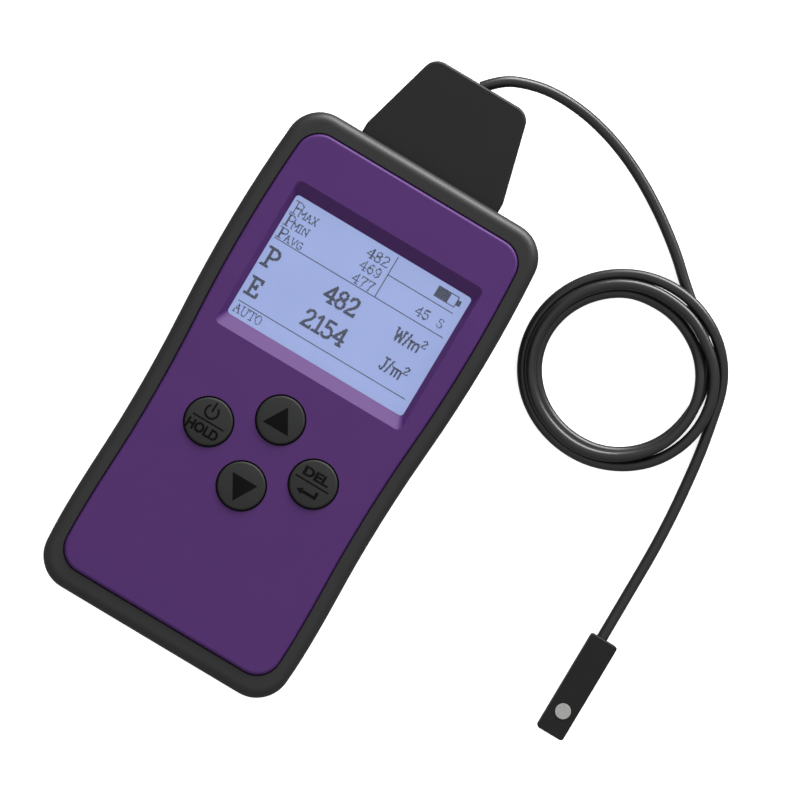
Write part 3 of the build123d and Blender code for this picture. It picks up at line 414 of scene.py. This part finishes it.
# %% The marks on the display: rules, words and the battery sign, in mm from its middle
DOT_PITCH = 0.26
RULES = [  # from x, y to x, y
    (-25.7, 5.28, 24.9, 5.28), (-25.7, -13.41, 24.9, -13.41),
    (4.4, 5.28, 4.4, 17.15), (4.4, 12.05, 24.1, 12.05),
]
RULE_PEN, BATTERY_PEN = 0.9, 1.1  # in dots
WORDS = [  # what, left end, foot, height, pen's width in dots
    ("P", -25.7, 13.05, 3.3, 1.1), ("MAX", -23.5, 13.05, 1.9, 1.0), ("482", -3.1, 13.25, 2.6, 1.15),
    ("P", -25.7, 9.45, 3.0, 1.1), ("MIN", -23.5, 9.45, 1.9, 1.0), ("469", -3.1, 9.65, 2.5, 1.15),
    ("P", -25.7, 5.65, 3.0, 1.1), ("AVG", -23.5, 5.65, 1.9, 1.0), ("477", -3.1, 5.75, 2.5, 1.15),
    ("P", -25.4, -2.45, 5.0, 3.0), ("482", -7.1, -2.15, 4.5, 2.9), ("W/m", 13.8, -1.65, 3.3, 2.0),
    ("E", -25.3, -10.95, 4.8, 3.0), ("2154", -8.7, -10.45, 4.5, 2.9),
    ("J/m", 14.6, -9.95, 3.3, 2.0),
    ("2", 21.3, 0.2, 2.0, 1.4), ("2", 20.8, -8.1, 2.0, 1.4),
    ("45", 15.4, 6.85, 2.4, 1.2), ("S", 21.8, 6.85, 2.4, 1.0), ("AUTO", -25.6, -16.55, 2.2, 1.1),
]
LETTER_GAP = 0.06
BOLD_PEN = 1.8  # a wider pen than this draws narrower letters
BOLD_WIDTH = 0.87
BATTERY_CASE = (17.5, 13.55, 23.5, 16.45)  # left, foot, right, head
BATTERY_FILL = (17.5, 13.55, 21.1, 16.45)
BATTERY_TIP = (23.5, 14.35, 24.4, 15.65)


def strokes_of(what, left, foot, height, pen):
    """The pen strokes of some letters, as lists of points in mm."""
    across = height * (BOLD_WIDTH if pen > BOLD_PEN else 1)
    found = []
    for letter in what:
        width, pens = STROKES[letter]
        for pen in pens.split("|"):
            points = [tuple(map(float, point.split(","))) for point in pen.split()]
            found.append([(left + x * across, foot + y * height) for x, y in points])
        left += (width + LETTER_GAP) * across
    return found


def from_stroke(x, y, stroke):
    """How far a place is from a stroke."""
    nearest = math.inf
    for (ax, ay), (bx, by) in zip(stroke, stroke[1:]):
        dx, dy = bx - ax, by - ay
        share = max(0, min(1, ((x - ax) * dx + (y - ay) * dy) / (dx * dx + dy * dy)))
        nearest = min(nearest, math.hypot(x - ax - share * dx, y - ay - share * dy))
    return nearest


def dots_in(left, foot, right, head):
    """The grid's dots in a box, by their columns and rows."""
    columns = [round(side / DOT_PITCH) for side in (left, right)]
    rows = [round(side / DOT_PITCH) for side in (foot, head)]
    return [(c, r) for c in range(columns[0], columns[1] + 1) for r in range(rows[0], rows[1] + 1)]


def dots_under(stroke, pen):
    """The dots that lie within half a pen's width of a stroke."""
    reach = pen * DOT_PITCH / 2
    xs, ys = [x for x, y in stroke], [y for x, y in stroke]
    near = dots_in(min(xs) - reach, min(ys) - reach, max(xs) + reach, max(ys) + reach)
    return [(c, r) for c, r in near if from_stroke(c * DOT_PITCH, r * DOT_PITCH, stroke) <= reach]


# %% Which dots are dark
dark_dots = set(dots_in(*BATTERY_FILL)) | set(dots_in(*BATTERY_TIP))
left, foot, right, head = BATTERY_CASE
case_line = [(left, foot), (right, foot), (right, head), (left, head), (left, foot)]
dark_dots.update(dots_under(case_line, BATTERY_PEN))
for ax, ay, bx, by in RULES:
    dark_dots.update(dots_under([(ax, ay), (bx, by)], RULE_PEN))
for what, left, foot, height, pen in WORDS:
    for stroke in strokes_of(what, left, foot, height, pen):
        dark_dots.update(dots_under(stroke, pen))
print(len(dark_dots), "dark dots")

# %% One plate on every dark place, by Geometry Nodes
PLATE_SHARE = 0.94  # of the pitch, which leaves a fine grid between the dots
PLATE_THICKNESS = 0.03 * MM
glass_low, glass_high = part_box("lcd_glass")
display_middle = (glass_low + glass_high) / 2

# liquid crystal turned dark: a blue-grey shade with no shine of its own
lcd_dark = finish(
    "darkened_liquid_crystal", "#1f2638", "#262d42", 5.0, 0.5, 0.0,
    Roughness=0.7, Specular_IOR_Level=0.1,
)


def plates_tree(material):
    """Geometry Nodes that put one square plate on every point of a mesh."""
    tree = bpy.data.node_groups.new("plates_on_points", "GeometryNodeTree")
    socket = tree.interface.new_socket
    socket("Geometry", in_out="INPUT", socket_type="NodeSocketGeometry")
    socket("Plate Side", in_out="INPUT", socket_type="NodeSocketFloat")
    socket("Plate Thickness", in_out="INPUT", socket_type="NodeSocketFloat")
    socket("Geometry", in_out="OUTPUT", socket_type="NodeSocketGeometry")
    given = put(tree, "NodeGroupInput")
    size = put(
        tree, "ShaderNodeCombineXYZ",
        {0: given.outputs[1], 1: given.outputs[1], 2: given.outputs[2]},
    )
    plate = put(tree, "GeometryNodeMeshCube", {"Size": size.outputs[0]})
    spread = put(
        tree, "GeometryNodeInstanceOnPoints",
        {"Points": given.outputs[0], "Instance": plate.outputs["Mesh"]},
    )
    real = put(tree, "GeometryNodeRealizeInstances", {"Geometry": spread.outputs[0]})
    painted = put(
        tree, "GeometryNodeSetMaterial", {"Geometry": real.outputs[0], "Material": material},
    )
    put(tree, "NodeGroupOutput", {0: painted.outputs[0]})
    return tree


def grown(name, mesh, tree, body, slot, **sizes):
    """The plain mesh that a tree makes of a mesh, riding on a body."""
    seed = bpy.data.objects.new(name + "_seed", mesh)
    bpy.context.scene.collection.objects.link(seed)
    modifier = seed.modifiers.new("grow", "NODES")
    modifier.node_group = tree
    sockets = [item for item in tree.interface.items_tree if item.in_out == "INPUT"]
    inputs = {socket.name: socket.identifier for socket in sockets}
    for size, value in sizes.items():
        modifier[inputs[size.replace("_", " ")]] = value
    whole = seed.evaluated_get(bpy.context.evaluated_depsgraph_get())
    plain = bpy.data.meshes.new_from_object(whole)
    bpy.data.objects.remove(seed)
    piece = bpy.data.objects.new(name, plain)
    bpy.context.scene.collection.objects.link(piece)
    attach(piece, body)
    print(name, len(plain.polygons), "faces")
    return piece


plate_middle = Vector((display_middle.x, display_middle.y, glass_high.z + PLATE_THICKNESS / 2))
dot_places = bpy.data.meshes.new("dot_places")
dot_places.from_pydata(
    [plate_middle + Vector((c, r, 0)) * DOT_PITCH * MM for c, r in sorted(dark_dots)], [], [],
)
display_dots = grown(
    "display_dots", dot_places, plates_tree(lcd_dark), "root", "lcd_glass",
    Plate_Side=DOT_PITCH * PLATE_SHARE * MM, Plate_Thickness=PLATE_THICKNESS,
)

# %% [markdown]
# ## Ink on the keys
#
# Each key's sign is printed in black on its slightly domed cap. Text or a flat
# outline laid on top would cut into the dome, so the flat sign is first sliced by
# a fine grid, then every corner is lifted to the dome's height, and the sheet gets
# the thickness of a coat of ink.

# %% The dome of a key, and how a flat sign is laid on it
KEY_CROWN = 0.3  # all in mm
CAP_RADIUS = 6.25
INK_THICKNESS = 0.03
SLICE = 0.6

# screen-printed silicone ink: blacker than the cap and a little smoother
key_ink = finish(
    "screen_printed_ink", "#060606", "#0a0a0a", 2.0, 0.3, 0.005,
    Roughness=0.7, Specular_IOR_Level=0.08,
)


def printed(key, shapes):
    """Lays flat shapes, as meshes in mm about the key's middle, on the key's dome as ink."""
    low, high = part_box("key_" + key)
    middle = (low + high) / 2
    sign = bmesh.new()
    for shape in shapes:
        sign.from_mesh(shape)
        bpy.data.meshes.remove(shape)
    bmesh.ops.remove_doubles(sign, verts=sign.verts, dist=0.001)
    reach = math.ceil(CAP_RADIUS / SLICE)
    for i in range(-reach, reach + 1):
        for across in ((1, 0, 0), (0, 1, 0)):
            bmesh.ops.bisect_plane(
                sign, geom=sign.verts[:] + sign.edges[:] + sign.faces[:], dist=0.0001,
                plane_co=Vector(across) * i * SLICE, plane_no=across,
            )
    for vertex in sign.verts:
        out = math.hypot(vertex.co.x, vertex.co.y) / CAP_RADIUS
        vertex.co.z = -KEY_CROWN * out * out
    bmesh.ops.recalc_face_normals(sign, faces=sign.faces[:])
    if sum(face.normal.z for face in sign.faces) < 0:
        bmesh.ops.reverse_faces(sign, faces=sign.faces[:])
    top = bmesh.ops.extrude_face_region(sign, geom=sign.faces[:])["geom"]
    for vertex in (part for part in top if isinstance(part, bmesh.types.BMVert)):
        vertex.co.z += INK_THICKNESS
    bmesh.ops.recalc_face_normals(sign, faces=sign.faces[:])
    for vertex in sign.verts:
        vertex.co = Vector((middle.x, middle.y, high.z)) + vertex.co * MM
    mesh = bpy.data.meshes.new("ink_" + key)
    sign.to_mesh(mesh)
    sign.free()
    mesh.materials.append(key_ink)
    ink = bpy.data.objects.new("ink_" + key, mesh)
    bpy.context.scene.collection.objects.link(ink)
    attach(ink, "key_" + key)
    print(ink.name, len(mesh.polygons), "faces")


# %% Flat shapes: words, polygons and a broken ring
TEXT_TRIAL = 10.0  # any size does, because the word is then stretched to its own
TEXT_WEIGHT = 0.42  # how far the letters' outline is pushed out, which makes them bold
RING_STEPS = 40


def flat_word(word, middle, foot, width, height):
    """A word about a middle, standing on a foot line, of a set width and height in mm."""
    text = bpy.data.curves.new("word", "FONT")
    text.body = word
    text.size = TEXT_TRIAL
    text.offset = TEXT_WEIGHT
    holder = bpy.data.objects.new("word", text)
    bpy.context.scene.collection.objects.link(holder)
    bpy.context.view_layer.update()
    mesh = bpy.data.meshes.new_from_object(holder)
    bpy.data.objects.remove(holder)
    xs, ys = [v.co.x for v in mesh.vertices], [v.co.y for v in mesh.vertices]
    for vertex in mesh.vertices:
        vertex.co.x = middle + ((vertex.co.x - min(xs)) / (max(xs) - min(xs)) - 0.5) * width
        vertex.co.y = foot + (vertex.co.y - min(ys)) / (max(ys) - min(ys)) * height
    return mesh


def flat_polygon(*corners):
    """A polygon from its corners in mm."""
    mesh = bpy.data.meshes.new("polygon")
    mesh.from_pydata([(x, y, 0) for x, y in corners], [], [range(len(corners))])
    return mesh


def broken_ring(middle, radius, pen, gap_degrees):
    """A ring with a gap at its top."""
    mesh = bpy.data.meshes.new("ring")
    points = []
    for i in range(RING_STEPS + 1):
        angle = math.radians(90 + gap_degrees / 2 + (360 - gap_degrees) * i / RING_STEPS)
        for r in (radius - pen / 2, radius + pen / 2):
            points.append((middle[0] + r * math.cos(angle), middle[1] + r * math.sin(angle), 0))
    faces = [(2 * i, 2 * i + 1, 2 * i + 3, 2 * i + 2) for i in range(RING_STEPS)]
    mesh.from_pydata(points, [], faces)
    return mesh


def bar(x0, y0, x1, y1):
    """An upright rectangle."""
    return flat_polygon((x0, y0), (x1, y0), (x1, y1), (x0, y1))


# %% The four signs
printed("up", [flat_polygon((-3.75, -2.6), (3.75, -2.6), (0, 3.8))])
printed("down", [flat_polygon((-3.7, 2.0), (0, -4.4), (3.7, 2.0))])
printed("power", [
    broken_ring((-0.5, 2.6), 1.75, 0.55, 70), bar(-0.78, 2.6, -0.22, 5.3),
    bar(-4.6, -0.3, 4.6, 0.1),
    flat_word("HOLD", -0.4, -3.85, 9.0, 2.8),
])
printed("enter", [
    flat_word("DEL", -0.2, 0.95, 7.5, 2.6), bar(-5.2, -0.3, 4.6, 0.1),
    flat_polygon((-3.2, -2.95), (-1.6, -2.0), (-1.6, -3.9)),
    flat_polygon(
        (-1.6, -2.55), (-1.6, -3.35), (2.5, -3.35), (2.5, -1.35), (1.7, -1.35), (1.7, -2.55),
    ),
])

# %% [markdown]
# ## Light and floor
#
# A pale table and a wide soft light low behind the meter's head. That light grazes
# the slopes of the display's frame, so the slope that faces it is pale, and the
# one that turns away is dark. The rest of the light comes evenly from all round.

# %% The even light, the soft light and the pale floor
world = bpy.data.worlds.new("room")
world.use_nodes = True
bpy.context.scene.world = world
sky = world.node_tree
direction = put(sky, "ShaderNodeTexCoord").outputs["Generated"]
upward = put(sky, "ShaderNodeSeparateXYZ", {"Vector": direction}).outputs["Z"]
HORIZON_LIGHT, ZENITH_LIGHT = 0.3, 0.72
strength = put(
    sky, "ShaderNodeMapRange",
    {"Value": upward, "To Min": HORIZON_LIGHT, "To Max": ZENITH_LIGHT},
)
sky.nodes["Background"].inputs["Color"].default_value = (1.0, 1.0, 1.0, 1.0)
sky.links.new(strength.outputs["Result"], sky.nodes["Background"].inputs["Strength"])


def soft_light(name, place, aim, width, height, power):
    """A rectangular soft light at a place, turned to an aim."""
    panel = bpy.data.lights.new(name, "AREA")
    panel.shape = "RECTANGLE"
    panel.size, panel.size_y, panel.energy = width, height, power
    lamp = bpy.data.objects.new(name, panel)
    lamp.location = place
    lamp.rotation_euler = (Vector(aim) - Vector(place)).to_track_quat("-Z", "Y").to_euler()
    bpy.context.scene.collection.objects.link(lamp)


soft_light(
    "head_light", place=(0.05, 1.3, 0.36), aim=(0.02, 0.0, 0.0), width=1.4, height=0.5, power=44.0,
)

FLOOR_SIDE = 6.0
floor_mesh = bpy.data.meshes.new("floor")
half = FLOOR_SIDE / 2
floor_corners = [(-half, -half, 0), (half, -half, 0), (half, half, 0), (-half, half, 0)]
floor_mesh.from_pydata(floor_corners, [], [(0, 1, 2, 3)])
floor_finish = finish(
    "pale_table_top", "#f4f4f4", "#fafafa", 300.0, 20.0, 0.0, Roughness=0.9, Specular_IOR_Level=0.1,
    Emission_Color=(1.0, 1.0, 1.0, 1.0), Emission_Strength=0.75,
)
floor_mesh.materials.append(floor_finish)
floor = bpy.data.objects.new("floor", floor_mesh)
bpy.context.scene.collection.objects.link(floor)
floor.visible_glossy = False  # the dark edges of the boot then mirror the dim horizon
bpy.context.scene.view_settings.view_transform = "Standard"

# %% Bring the scene up to date
bpy.context.view_layer.update()
